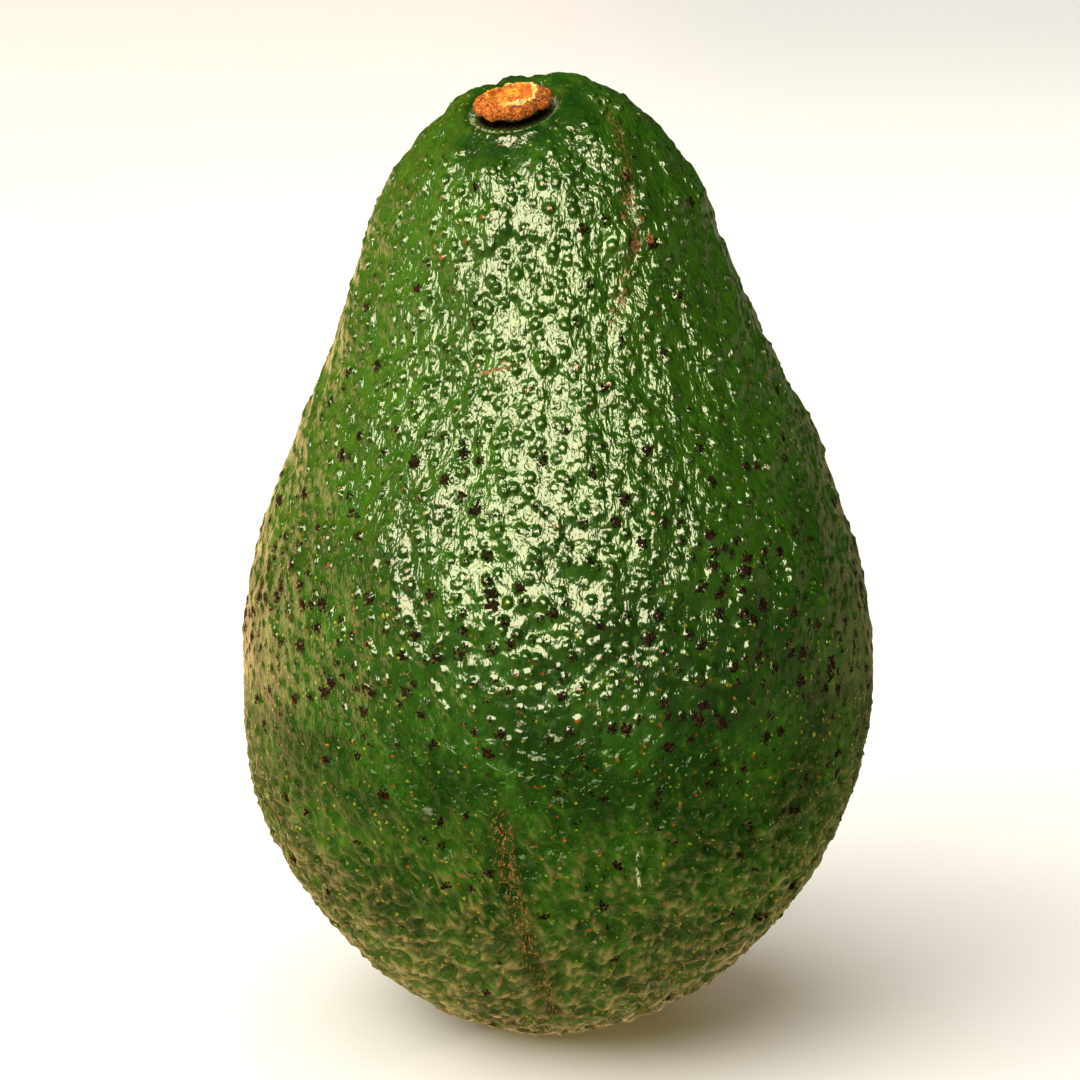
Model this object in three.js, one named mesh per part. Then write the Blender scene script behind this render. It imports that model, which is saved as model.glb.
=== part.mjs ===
// A whole green avocado that stands on its blossom end, with the cut stub of its stem at the top.
// Millimetres, +Z up. The origin is the middle of the small flat spot it stands on, and -Y is its front.
import * as THREE from "three";
import { ConvexHull } from "three/addons/math/ConvexHull.js";

// The outline, from the blossom end to the top: height, radius, and shift of the centre to +X and to +Y.
const STATIONS = [
  { height: -1.3, radius: 0, toX: 0, toY: 0 },
  { height: 1.0, radius: 10.4, toX: 0, toY: 0 },
  { height: 8.0, radius: 21.0, toX: 0.2, toY: 0 },
  { height: 18.5, radius: 29.2, toX: 0.3, toY: 0 },
  { height: 30.0, radius: 33.8, toX: 0.4, toY: 0 },
  { height: 42.0, radius: 34.9, toX: 0.6, toY: -0.1 },
  { height: 54.0, radius: 33.3, toX: 0.5, toY: -0.4 },
  { height: 65.5, radius: 29.1, toX: 0.5, toY: -0.9 },
  { height: 76.5, radius: 23.9, toX: 0.1, toY: -1.6 },
  { height: 87.0, radius: 19.6, toX: -0.5, toY: -2.5 },
  { height: 96.5, radius: 15.5, toX: -1.0, toY: -3.5 },
  { height: 104.2, radius: 8.1, toX: -0.7, toY: -4.3 },
  { height: 106.5, radius: 0, toX: -0.7, toY: -4.5 },
];
const DEPTH_SHARE = 0.97; // from front to back the fruit is a little thinner than it is wide
const FOOT_CORNERS = 32; // on the rim of the flat spot, where the outline rises through zero
const FOOT_CLEARANCE = 0.25; // the pebbles start this high over the flat spot

// Broad unevenness of the flesh, in waves that wind round the fruit.
const LUMPS = [
  { size: 0.3, round: 2, pitch: 95, phase: 1.1 },
  { size: 0.22, round: 3, pitch: -60, phase: 0.4 },
  { size: 0.16, round: 5, pitch: 38, phase: 2.3 },
];

// The pebbled skin, drawn larger than life: small domes, each with a ring of points at its base.
const PEBBLES = 930;
const PEBBLE_RISE = 0.62;
const PEBBLE_RADIUS = 1.5;
const PEBBLE_SIDES = 5;
const SKIN_DROP = 0.2; // the skin between the pebbles lies this much under the outline
const PEBBLE_SPREAD = 0.7; // share by which the pebbles differ in rise and radius
const STRAY = 0.9; // how far a pebble strays from its even place
const SEED = 20;

// The stem leaves the top a little to the front and to the left, from a hollow with a folded shoulder.
const STEM_FROM_TOP = THREE.MathUtils.degToRad(13);
const STEM_TURN = THREE.MathUtils.degToRad(-119.5);
const STEM_TO_FRONT = THREE.MathUtils.degToRad(17);
const STEM_TO_LEFT = THREE.MathUtils.degToRad(9);
const HOLLOW_DEPTH = 1.5;
const FLOOR_RADIUS = 5.0;
const MOUTH_RADIUS = 8.2;
const SHOULDER_RADIUS = 9.0;
const SHOULDER_RISE = 0.4;
const FOLDS = 9;
const FOLD_RISE = 0.3;
const SMOOTH_RADIUS = 16; // the pebbles fade out within this distance of the stem
// Round the stem the skin is laid in rings of corners, and the pebbles start outside them.
const STEM_RINGS = [
  { radius: 2.5, corners: 10 },
  { radius: 5.0, corners: 26 },
  { radius: 5.8, corners: 30 },
  { radius: 6.6, corners: 36 },
  { radius: 7.5, corners: 36 },
  { radius: 8.5, corners: 36 },
  { radius: 9.8, corners: 36 },
  { radius: 11.2, corners: 36 },
  { radius: 12.6, corners: 30 },
];

// The cut stub of the stem, as rows of radius and height over its underside, from below to the pith.
const STUB_GAP = 0.3;
const STUB_ROWS = [
  { radius: 3.4, height: 0 },
  { radius: 4.0, height: 0.25 },
  { radius: 4.35, height: 0.75 },
  { radius: 4.2, height: 1.15 },
  { radius: 3.75, height: 1.6 },
  { radius: 3.3, height: 1.9 },
  { radius: 2.95, height: 1.95 },
  { radius: 2.6, height: 1.65 },
  { radius: 1.4, height: 1.45 },
];
const PITH_HEIGHT = 1.55;
const STUB_SEGMENTS = 36;
const STUB_NARROWING = 0.9; // the cut face is oval
const STUB_WAVES = [
  { size: 0.035, round: 3, phase: 0.6 },
  { size: 0.025, round: 5, phase: 2.1 },
  { size: 0.018, round: 8, phase: 4 },
];

const UP = new THREE.Vector3(0, 0, 1);
const stemAxis = new THREE.Vector3(-Math.tan(STEM_TO_LEFT), -Math.tan(STEM_TO_FRONT), 1).normalize();
const stemDirection = new THREE.Vector3(
  Math.sin(STEM_FROM_TOP) * Math.cos(STEM_TURN),
  Math.sin(STEM_FROM_TOP) * Math.sin(STEM_TURN),
  Math.cos(STEM_FROM_TOP),
);
const stemSeat = fleshPoint(stemDirection);

// The value that a smooth curve through one of the stations' sizes has at a share of the way up.
function stationValue(name, share) {
  const last = STATIONS.length - 1;
  const place = share * last;
  const i = Math.min(Math.floor(place), last - 1);
  const w = place - i;
  const start = STATIONS[i][name];
  const end = STATIONS[i + 1][name];
  const before = STATIONS[Math.max(i - 1, 0)][name];
  const after = STATIONS[Math.min(i + 2, last)][name];
  const startSlope = (end - before) / 2;
  const endSlope = (after - start) / 2;
  const cubic = 2 * (start - end) + startSlope + endSlope;
  const square = 3 * (end - start) - 2 * startSlope - endSlope;
  return ((cubic * w + square) * w + startSlope) * w + start;
}

// The smooth flesh in one direction, a unit vector from the blossom end's pole at -Z to the top's at +Z.
function fleshPoint(direction) {
  const share = Math.acos(THREE.MathUtils.clamp(-direction.z, -1, 1)) / Math.PI;
  const turn = Math.atan2(direction.y, direction.x);
  const height = stationValue("height", share);
  const lump = LUMPS.reduce(
    (sum, l) => sum + l.size * Math.sin(l.round * turn + (2 * Math.PI * height) / l.pitch + l.phase),
    0,
  );
  const radius = stationValue("radius", share) + lump * Math.sin(Math.PI * share);
  return new THREE.Vector3(
    stationValue("toX", share) + radius * Math.cos(turn),
    stationValue("toY", share) + radius * Math.sin(turn) * DEPTH_SHARE,
    height,
  );
}

// Two unit vectors that are square to a direction and to each other.
function crossways(direction) {
  const helper = Math.abs(direction.z) < 0.9 ? UP : new THREE.Vector3(1, 0, 0);
  const first = new THREE.Vector3().crossVectors(helper, direction).normalize();
  return [first, new THREE.Vector3().crossVectors(direction, first)];
}

// How the skin moves for a small turn of a direction to each of its two sides.
function skinSlopes(direction) {
  const turn = 0.01; // in radians
  return crossways(direction).map((side) => {
    const ahead = fleshPoint(direction.clone().addScaledVector(side, turn).normalize());
    const behind = fleshPoint(direction.clone().addScaledVector(side, -turn).normalize());
    return ahead.sub(behind).divideScalar(2 * turn);
  });
}

// The direction of a place on the skin that lies some millimetres beside the given one.
function beside(direction, lengths) {
  const sides = crossways(direction);
  const slopes = skinSlopes(direction);
  return sides
    .reduce((sum, side, i) => sum.addScaledVector(side, lengths[i] / slopes[i].length()), direction.clone())
    .normalize();
}

// Directions of places in a circle on the skin.
function circleAbout(direction, radius, count, start) {
  return Array.from({ length: count }, (_, i) => {
    const turn = start + (2 * Math.PI * i) / count;
    return beside(direction, [radius * Math.cos(turn), radius * Math.sin(turn)]);
  });
}

// Where a point lies as seen from the stem: its height over the stem's seat, its distance and its turn.
function fromStem(point) {
  const offset = point.clone().sub(stemSeat);
  const height = offset.dot(stemAxis);
  const flat = offset.addScaledVector(stemAxis, -height);
  return { height, distance: flat.length(), turn: Math.atan2(flat.y, flat.x) };
}

// Sinks the hollow's floor round the stem and raises its folded shoulder.
function hollowed(point) {
  if (point.distanceTo(stemSeat) > SMOOTH_RADIUS) return point;
  const seen = fromStem(point);
  const rim = THREE.MathUtils.smoothstep(seen.distance, FLOOR_RADIUS, MOUTH_RADIUS);
  const shoulder = Math.exp(-(((seen.distance - SHOULDER_RADIUS) / (MOUTH_RADIUS - FLOOR_RADIUS)) ** 2));
  const fold = Math.sin(FOLDS * seen.turn) * FOLD_RISE;
  const plain = THREE.MathUtils.lerp(-HOLLOW_DEPTH, seen.height, rim);
  const height = plain + shoulder * rim * (SHOULDER_RISE + fold);
  return point.addScaledVector(stemAxis, height - seen.height);
}

// The skin in one direction with its relief, hollowed at the stem and flat at the foot.
function skinPoint(direction, relief) {
  const flesh = fleshPoint(direction);
  const [across, along] = skinSlopes(direction);
  const fade = THREE.MathUtils.smoothstep(flesh.distanceTo(stemSeat), SHOULDER_RADIUS, SMOOTH_RADIUS);
  const raised = flesh.clone().addScaledVector(across.cross(along).normalize(), relief * fade);
  const point = hollowed(raised);
  point.z = Math.max(point.z, 0);
  return point;
}

// Repeatable draws between 0 and 1.
function seededDraws(seed) {
  let state = seed;
  return () => {
    state = (state * 16807) % 2147483647;
    return state / 2147483647;
  };
}

// Directions on a spiral from pole to pole, spread so that each has an equal share of the skin.
function spiralDirections(count) {
  const goldenTurn = Math.PI * (3 - Math.sqrt(5));
  const steps = 4000; // the skin's area is summed in this many bands
  const at = (step) => {
    const polar = (Math.PI * step) / steps;
    return new THREE.Vector3(Math.sin(polar), 0, -Math.cos(polar));
  };
  const areas = Array.from({ length: steps }, (_, i) => {
    const [low, high] = [fleshPoint(at(i)), fleshPoint(at(i + 1))];
    return low.distanceTo(high) * stationValue("radius", (i + 0.5) / steps);
  });
  const total = areas.reduce((sum, area) => sum + area, 0);
  const directions = [];
  areas.reduce((covered, area, i) => {
    if (covered + area > ((directions.length + 0.5) / count) * total) {
      directions.push(at(i + 0.5).applyAxisAngle(UP, directions.length * goldenTurn));
    }
    return covered + area;
  }, 0);
  return directions;
}

// The triangles of the hull of points on the sphere, as triples of the points.
function hullTriangles(directions) {
  return new ConvexHull().setFromPoints(directions).faces.map((face) => {
    const { edge } = face;
    return [edge.tail().point, edge.head().point, edge.next.head().point];
  });
}

// The polar angle at which the outline rises through the height of the flat spot.
function footAngle() {
  let [low, high] = [0, Math.PI / (STATIONS.length - 1)];
  for (let i = 0; i < 40; i++) {
    const middle = (low + high) / 2;
    if (stationValue("height", middle / Math.PI) < 0) low = middle;
    else high = middle;
  }
  return high;
}

// A geometry of triangles whose shared corners are placed once.
function geometryFrom(triangles, place) {
  const indexOf = new Map();
  const positions = [];
  const indices = triangles.flat().map((vertex) => {
    if (!indexOf.has(vertex)) {
      indexOf.set(vertex, indexOf.size);
      positions.push(...place(vertex).toArray());
    }
    return indexOf.get(vertex);
  });
  const geometry = new THREE.BufferGeometry();
  geometry.setAttribute("position", new THREE.Float32BufferAttribute(positions, 3));
  geometry.setIndex(indices);
  geometry.computeVertexNormals();
  return geometry;
}

// The places of the skin's corners, and the relief of those that belong to a pebble.
function skinPlaces() {
  const draw = seededDraws(SEED);
  const stray = () => STRAY * (2 * draw() - 1);
  const foot = new THREE.Vector3(0, 0, -1);
  const footRim = footAngle();
  const overFoot = (d) => fleshPoint(d).z > FOOT_CLEARANCE;
  const stemZone = STEM_RINGS.at(-1).radius + PEBBLE_RADIUS;
  const clearOfStem = (d) => fleshPoint(d).distanceTo(stemSeat) > stemZone;
  const relief = new Map();
  for (const even of spiralDirections(PEBBLES)) {
    const centre = beside(even, [stray(), stray()]);
    const share = 1 + PEBBLE_SPREAD * (draw() - 0.5);
    const base = circleAbout(centre, PEBBLE_RADIUS * share, PEBBLE_SIDES, 2 * Math.PI * draw());
    if (!clearOfStem(centre) || !overFoot(centre)) continue;
    relief.set(centre, PEBBLE_RISE * share - SKIN_DROP);
    base.filter(overFoot).forEach((b) => relief.set(b, -SKIN_DROP));
  }
  for (const { radius, corners } of STEM_RINGS) {
    circleAbout(stemDirection, radius, corners, 0).forEach((d) => relief.set(d, -SKIN_DROP));
  }
  for (let i = 0; i < FOOT_CORNERS; i++) {
    const turn = (2 * Math.PI * i) / FOOT_CORNERS;
    const corner = new THREE.Vector3(Math.sin(footRim), 0, -Math.cos(footRim)).applyAxisAngle(UP, turn);
    relief.set(corner, 0);
  }
  return relief.set(stemDirection, 0).set(foot, 0);
}

function makeFruit() {
  const relief = skinPlaces();
  const geometry = geometryFrom(hullTriangles([...relief.keys()]), (d) => skinPoint(d, relief.get(d)));
  const skin = new THREE.MeshStandardMaterial({ color: 0x3a6415, roughness: 0.32, metalness: 0 });
  const mesh = new THREE.Mesh(geometry, skin);
  mesh.name = "fruit";
  return mesh;
}

// The stub is built upright, then turned to the stem's direction in its hollow.
function makeStemStub() {
  const ring = ({ radius, height }) =>
    Array.from({ length: STUB_SEGMENTS }, (_, i) => {
      const turn = (2 * Math.PI * i) / STUB_SEGMENTS;
      const wave = STUB_WAVES.reduce((sum, w) => sum + w.size * Math.sin(w.round * turn + w.phase), 1);
      const reach = radius * wave;
      return new THREE.Vector3(reach * Math.cos(turn), reach * Math.sin(turn) * STUB_NARROWING, height);
    });
  const rings = STUB_ROWS.map(ring);
  const underside = new THREE.Vector3(0, 0, 0);
  const pith = new THREE.Vector3(0, 0, PITH_HEIGHT);
  const triangles = [];
  for (let i = 0; i < STUB_SEGMENTS; i++) {
    const j = (i + 1) % STUB_SEGMENTS;
    triangles.push([underside, rings[0][j], rings[0][i]], [pith, rings.at(-1)[i], rings.at(-1)[j]]);
    for (let row = 0; row + 1 < rings.length; row++) {
      const [low, high] = [rings[row], rings[row + 1]];
      triangles.push([low[i], low[j], high[j]], [low[i], high[j], high[i]]);
    }
  }
  const cork = new THREE.MeshStandardMaterial({ color: 0xb9692c, roughness: 0.8, metalness: 0 });
  const mesh = new THREE.Mesh(geometryFrom(triangles, (v) => v), cork);
  mesh.name = "stem_stub";
  mesh.quaternion.setFromUnitVectors(UP, stemAxis);
  mesh.position.copy(stemSeat).addScaledVector(stemAxis, STUB_GAP - HOLLOW_DEPTH);
  return mesh;
}

const avocado = new THREE.Group();
avocado.add(makeFruit(), makeStemStub());
export default avocado;
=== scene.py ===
"""A whole green avocado that stands upright on a pale floor: pebbled waxy skin and the cut stub of its stem."""

import math

import bpy
import numpy as np
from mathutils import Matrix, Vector, kdtree, noise


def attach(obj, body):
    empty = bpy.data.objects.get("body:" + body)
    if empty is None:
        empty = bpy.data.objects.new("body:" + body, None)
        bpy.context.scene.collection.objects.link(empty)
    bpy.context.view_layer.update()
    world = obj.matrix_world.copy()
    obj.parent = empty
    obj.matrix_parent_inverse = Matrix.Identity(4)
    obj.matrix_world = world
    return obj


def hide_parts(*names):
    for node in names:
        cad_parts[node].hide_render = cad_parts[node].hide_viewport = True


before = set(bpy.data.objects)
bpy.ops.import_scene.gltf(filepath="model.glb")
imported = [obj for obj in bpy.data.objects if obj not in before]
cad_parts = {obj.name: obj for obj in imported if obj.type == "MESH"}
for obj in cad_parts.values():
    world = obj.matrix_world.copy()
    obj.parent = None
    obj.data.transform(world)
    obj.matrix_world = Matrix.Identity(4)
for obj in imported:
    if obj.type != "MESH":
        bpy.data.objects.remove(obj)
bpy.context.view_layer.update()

bl_info = {
    "name": "Whole Avocado",
    "version": (1, 0, 0),
    "blender": (4, 5, 0),
    "location": "View3D > Sidebar > Avocado",
    "description": "Builds a green avocado with pebbled skin, its stem stub and a studio stage",
    "category": "Add Mesh",
}

MM = 0.001

# The outline, from the blossom end to the top, in millimetres: height, radius, shift to +X and to +Y.
STATIONS = np.array(
    [
        (-1.3, 0.0, 0.0, 0.0),
        (1.0, 10.4, 0.0, 0.0),
        (8.0, 21.0, 0.2, 0.0),
        (18.5, 29.2, 0.3, 0.0),
        (30.0, 33.8, 0.4, 0.0),
        (42.0, 34.9, 0.6, -0.1),
        (54.0, 33.3, 0.5, -0.4),
        (65.5, 29.1, 0.5, -0.9),
        (76.5, 23.9, 0.1, -1.6),
        (87.0, 19.6, -0.5, -2.5),
        (96.5, 15.5, -1.0, -3.5),
        (104.2, 8.1, -0.7, -4.3),
        (106.5, 0.0, -0.7, -4.5),
    ]
)
DEPTH_SHARE = 0.97
# The skin is a cube whose edges are cut twice, into 8 and then 16 parts: 128 faces along each edge.
SKIN_CUTS = (7, 15)

# Broad unevenness of the flesh: size in millimetres, waves round the fruit, pitch of their winding, phase.
LUMPS = ((0.3, 2, 95.0, 1.1), (0.22, 3, -60.0, 0.4), (0.16, 5, 38.0, 2.3))

# The stem's place and direction, and the hollow that it sits in, in millimetres.
STEM_FROM_TOP = math.radians(13)
STEM_TURN = math.radians(-119.5)
STEM_TO_FRONT = math.radians(17)
STEM_TO_LEFT = math.radians(9)
HOLLOW_DEPTH = 1.5
FLOOR_RADIUS = 4.1
MOUTH_RADIUS = 6.2
SHOULDER_RADIUS = 9.0
SHOULDER_WIDTH = 3.2
SHOULDER_RISE = 0.4
FOLDS = 9
FOLD_RISE = 0.3
SMOOTH_RADIUS = 16.0
STUB_GAP = 0.3
# Fine ridges run out from the stem: rise, count. They fade in and out over these distances from its axis.
WIDE_RIDGES = (0.07, 31)
NARROW_RIDGES = (0.05, 47)
RIDGES_START = (5.2, 6.5)
RIDGES_END = (10.0, SMOOTH_RADIUS)
# The groove round the stub and the lip outside it: distance from the axis, width, rise.
GROOVE = (4.4, 0.3, -0.4)
LIP = (5.3, 0.35, 0.25)

# Zones of the skin over which a feature comes or goes, as heights in millimetres.
NECK_ZONE = (45, 75)
UPPER_ZONE = (36, 54)
HAMMERED_ZONE = (38, 54)
CALM_ZONE = (28, 46)
DEEP_FOLD_ZONE = (22, 42)
# Over this zone the painted sheen on the net's crests fades out.
CREST_SHEEN_ZONE = (14, 40)
LARGE_PIMPLE_ZONE = (25, 70)

# The pimples, in millimetres: how far one strays from its place on the spiral, its radius on the neck, how much
# larger it is low down, and how far round it the mesh is drawn in to it.
PIMPLE_STRAY = 0.8
PIMPLE_RADIUS = 0.68
LOW_PIMPLE_EXTRA = 0.2
PIMPLE_REACH = 0.85

# Relief that the mesh carries: shift to a part of the noise of its own, width of its grains in millimetres, how
# far they are drawn out along the fruit, rise in millimetres.
LEATHER = (9, 1.05, 1.0, 0.36)
NECK_STRANDS = (40, 1.2, 5.0, 0.15)
SWELLS = (80, 7.0, 1.6, 0.3)
HAMMERING = (60, 2.8, 1.3, 0.55)
# The folds of the leathery net: their width and how far their crests stand out, in millimetres.
FOLD_WIDTH = 1.65
FOLD_CREST = 0.2
# Rays that run out from the stem: how many lie in each radian round it, and their rise in millimetres.
RAYS = 5
RAY_RISE = 0.32
# Marks that are sunk or raised: half their width and their rise in millimetres.
CREASE_FORM = (0.7, -0.45)
STREAK_FORM = (0.8, -0.12)
SCRATCH_FORM = (0.4, 0.08)

# Places of marks on the skin: turn round the fruit in degrees (-90 is the front), height in millimetres, and
# for a scab its radius in millimetres.
STREAK = ((-44, 104.0), (-47, 101.6), (-52.5, 98.3), (-56.6, 95.0), (-57.7, 91.0), (-66, 86.5), (-73, 82.5))
SCABS = ((-58.9, 90.6, 0.75), (-52.9, 91.2, 0.6), (-60.5, 93.5, 0.4), (-55, 95.6, 0.4))
SCRATCH = ((-108.4, 78.1), (-102.6, 78.8), (-95.7, 79.5))
PALE_SCRATCH = ((-74.8, 30.1), (-75.4, 27.7), (-74.2, 25.2))
CREASE = ((-99.5, 33.5), (-98.9, 27.8), (-97.6, 23.5), (-95.9, 18.9), (-93.1, 12.4), (-90, 7.0))
# Where corky spots crowd: turn, height, spread in millimetres, share of the pimples there that are corky.
CORK_PATCHES = (
    (-54.8, 58.8, 2.6, 0.85),
    (-60, 54.6, 4.8, 0.7),
    (-52, 52.5, 4.5, 0.5),
    (-98, 55.6, 5.5, 0.6),
    (-104, 65, 5.5, 0.4),
    (-86, 57.5, 5.0, 0.45),
    (-103, 42.2, 2.2, 0.8),
    (-86, 45.2, 2.0, 0.8),
    (-122, 53, 3.0, 0.6),
    (-117, 39, 3.0, 0.4),
    (-53, 29, 3.5, 0.5),
    (-101, 26, 3.5, 0.5),
    (-35, 56, 8.0, 0.3),
    (30, 60, 9.0, 0.4),
    (95, 52, 12.0, 0.4),
    (160, 58, 9.0, 0.35),
)
# The band round the belly that has more of them: height, spread, share.
CORK_BAND = (50.0, 20.0, 0.4)

# Sizes of the skin's patterns in millimetres. Real crinkles and cork grains are about a third as wide, too fine
# to show from the camera, so they are drawn coarser.
CRINKLE_WIDTH = 0.3
CORK_GRAIN = 0.15
CORK_CRUMB = 0.37
STRAND_WIDTH = 0.6
EDGE_WAVER = 0.6
CRUMPLE_WIDTH = 1.05
NET_CELL = 1.2
SPECK_SPACING = 0.75
MOTTLE_WIDTH = 1.8
DRIFT_WIDTH = 9.0
# The same for the stub: its waves, its grains, drawn about twice as wide as real ones, and its pits.
BARK_WAVE = 0.77
BARK_GRAIN = 0.24
PITH_PIT = 0.42

# Relief that only the shader carries, in millimetres.
CRINKLE_RISE = 0.11
NECK_CRINKLE_EXTRA = 0.06
DENT_RISE = 0.22
LOW_DENT_EXTRA = 0.14
NET_RIDGE_RISE = 0.07
STRAND_RISE = 0.16
CRUST_RISE = 0.03
CRUST_GRAIN_RISE = 0.2
# Plant wax bends light about this much.
WAX_IOR = 1.5

# The stub's rows, in millimetres over its underside: radius as a share of half the width, height.
STUB_ROWS = (
    (0.78, 0.0),
    (0.93, 0.2),
    (1.0, 0.6),
    (0.98, 1.05),
    (0.9, 1.4),
    (0.8, 1.7),
    (0.74, 1.88),
    (0.68, 1.95),
    (0.63, 1.85),
    (0.58, 1.55),
    (0.4, 1.4),
    (0.15, 1.45),
)
# The stub has this many sides, is made narrower from front to back and gets a grid of this width in millimetres.
STUB_SIDES = 64
STUB_DEPTH_SHARE = 0.9
STUB_GRID = 0.11
# Its unevenness: name, width and strength in millimetres.
STUB_LAYERS = (("stem_waves", 2.2, 1.3), ("stem_lumps", 0.8, 0.5), ("stem_grains", 0.28, 0.22))

# The camera stands where the photograph was taken from: 14 degrees over the level, at the front.
CAMERA_AIM = Vector((-1.2, 0.0, 54.9)) * MM
CAMERA_RISE = math.radians(14)
CAMERA_DISTANCE = 396.7 * MM
CAMERA_LENS = 120.0

# Lamps: turn and rise in degrees as seen from the object, distance and size in metres.
WINDOW_PLACE = (-11, 31, 0.62, (0.78, 0.42))
WALL_PLACE = (-125, 24, 0.9, (1.2, 0.9))
BACK_PLACE = (150, 45, 0.8, (0.7, 0.7))
SOFT_PLACE = (-58, 38, 0.8, (0.7, 0.7))
SKY_WIDTH = math.radians(90)
SKY_LEAN = (math.radians(10), math.radians(-26), 0)
ROOM_STRENGTH = 0.03
# The floor and the card over it, in metres.
FLOOR_SIZE = 8
CARD_SIZE = 3
CARD_LIFT = 0.02 * MM


def linear(hex_colour):
    """The linear colour of an sRGB hex value."""
    parts = [int(hex_colour[i : i + 2], 16) / 255 for i in (1, 3, 5)]
    return tuple(p / 12.92 if p <= 0.04045 else ((p + 0.055) / 1.055) ** 2.4 for p in parts)


def colour_property(name, description, hex_colour):
    """A colour that the user can change."""
    return bpy.props.FloatVectorProperty(
        name=name, description=description, subtype="COLOR", size=3, min=0, max=1, default=linear(hex_colour)
    )


class SkinSettings(bpy.types.PropertyGroup):
    """What the user can change on the fruit"""

    pimples: bpy.props.IntProperty(
        name="Pimples", description="How many pimples cover the skin", default=6400, min=500, max=9000
    )
    pimple_height: bpy.props.FloatProperty(
        name="Pimple height",
        description="How far an average pimple stands out",
        default=0.22 * MM,
        min=0,
        max=0.001,
        unit="LENGTH",
        precision=5,
    )
    seed: bpy.props.IntProperty(name="Seed", description="Changes where the pimples and spots fall", default=11)
    green: colour_property("Skin", "Green of the skin", "#2b5607")
    dark_green: colour_property("Skin shade", "Darkest green of the skin", "#163a04")
    light_green: colour_property("Skin light", "Lightest green of the skin", "#45730f")
    # Painted sheen: a painted warm reflection on the net's crests low down.
    crest_sheen_tan: colour_property("Crest tan", "Rubbed crests of the net on the lower half", "#a89250")
    lenticel: colour_property("Lenticels", "Yellow-green dots on the pimples", "#a8a828")
    # Partly a painted highlight: the cream of the neck's dots and of the thin line on the stem's lip.
    pale_lenticel_and_highlight: colour_property("Pale lenticels", "Cream dots on the neck", "#d8d6a8")
    red_lenticel: colour_property("Red lenticels", "Orange-red dots among them", "#b8400e")
    cork: colour_property("Cork spots", "Black-brown corky spots", "#0e0704")
    cork_grain: colour_property("Cork grains", "Reddish grains of the corky spots", "#5c3014")
    russet: colour_property("Russet", "Tan scars and scabs", "#cc8c4c")
    russet_shade: colour_property("Russet shade", "Brown of their grain", "#3c2410")
    roughness: bpy.props.FloatProperty(
        name="Roughness", description="How blurred the wax's gloss is", default=0.2, min=0, max=1
    )


class StemSettings(bpy.types.PropertyGroup):
    """What the user can change on the stub"""

    width: bpy.props.FloatProperty(
        name="Width",
        description="Width of the stub across its bark",
        default=7.9 * MM,
        min=0.002,
        max=0.02,
        unit="LENGTH",
        precision=5,
    )
    bark: colour_property("Bark", "Orange-brown granular cork", "#dc700c")
    bark_shade: colour_property("Bark shade", "Brown of its pits", "#74300a")
    pith: colour_property("Pith", "Yellow-orange of the cut", "#ffb434")
    # The rim's yellow is painted on its right side only, where it is partly a painted highlight.
    rim: colour_property("Rim", "Yellow of the cut's raised rim", "#ffdc80")
    # The dark foot is partly a dry crust and partly painted shade of the gap under the stub.
    underside: colour_property("Underside", "Dark foot of the bark, in the hollow", "#301f12")


class StageSettings(bpy.types.PropertyGroup):
    """What the user can change on the stage"""

    floor: colour_property("Floor", "Pale floor", "#f8f5ee")
    warm_card: colour_property("Card", "Warm card that only the gloss mirrors", "#ffcf8e")
    card_shade: colour_property("Card shade", "The card on its darker side", "#6c5c40")
    dark_card: colour_property("Card front", "The card in front of the fruit", "#2a2410")
    gloss_strength: bpy.props.FloatProperty(
        name="Window", description="Power of the window that the skin mirrors", default=22, min=0, unit="POWER"
    )
    light_strength: bpy.props.FloatProperty(
        name="Light", description="Power of the soft light on the object", default=4.1, min=0, unit="POWER"
    )
    wall_strength: bpy.props.FloatProperty(
        name="Wall", description="Power of the warm wall on the left", default=1.35, min=0, unit="POWER"
    )
    back_strength: bpy.props.FloatProperty(
        name="Back", description="Power of the light from behind", default=1.6, min=0, unit="POWER"
    )
    sky_strength: bpy.props.FloatProperty(
        name="Overhead", description="Strength of the wide light from above", default=3.0, min=0
    )
    card_strength: bpy.props.FloatProperty(
        name="Card glow", description="How brightly the warm card glows", default=2.5, min=0
    )
    window_colour: colour_property("Window colour", "Slightly warm window", "#fff3cb")
    wall_colour: colour_property("Wall colour", "Yellow of the warm wall", "#ffe561")
    lamp_colour: colour_property("Lamp colour", "Nearly white lamps", "#fffcf3")
    room_colour: colour_property("Room", "Dim warm room around the stage", "#f3edda")


def unit(vectors):
    """The vectors at length 1."""
    return vectors / np.linalg.norm(vectors, axis=-1, keepdims=True)


def smoothstep(low, high, values):
    """0 below low, 1 above high and a soft step between."""
    share = np.clip((values - low) / (high - low), 0, 1)
    return share * share * (3 - 2 * share)


def station_value(column, share):
    """The value of a smooth curve through one column of the stations, at a share of the way up."""
    last = len(STATIONS) - 1
    index = np.minimum((share * last).astype(int), last - 1)
    w = share * last - index
    start, end = STATIONS[index, column], STATIONS[index + 1, column]
    before, after = STATIONS[np.maximum(index - 1, 0), column], STATIONS[np.minimum(index + 2, last), column]
    start_slope, end_slope = (end - before) / 2, (after - start) / 2
    cubic = 2 * (start - end) + start_slope + end_slope
    square = 3 * (end - start) - 2 * start_slope - end_slope
    return ((cubic * w + square) * w + start_slope) * w + start


def flesh_points(directions):
    """The smooth flesh in the given directions, in millimetres."""
    share = np.arccos(np.clip(-directions[:, 2], -1, 1)) / math.pi
    turn = np.arctan2(directions[:, 1], directions[:, 0])
    height = station_value(0, share)
    lump = sum(s * np.sin(n * turn + 2 * math.pi * height / pitch + phase) for s, n, pitch, phase in LUMPS)
    radius = station_value(1, share) + lump * np.sin(math.pi * share)
    x = station_value(2, share) + radius * np.cos(turn)
    y = station_value(3, share) + radius * np.sin(turn) * DEPTH_SHARE
    return np.column_stack((x, y, height))


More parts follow.
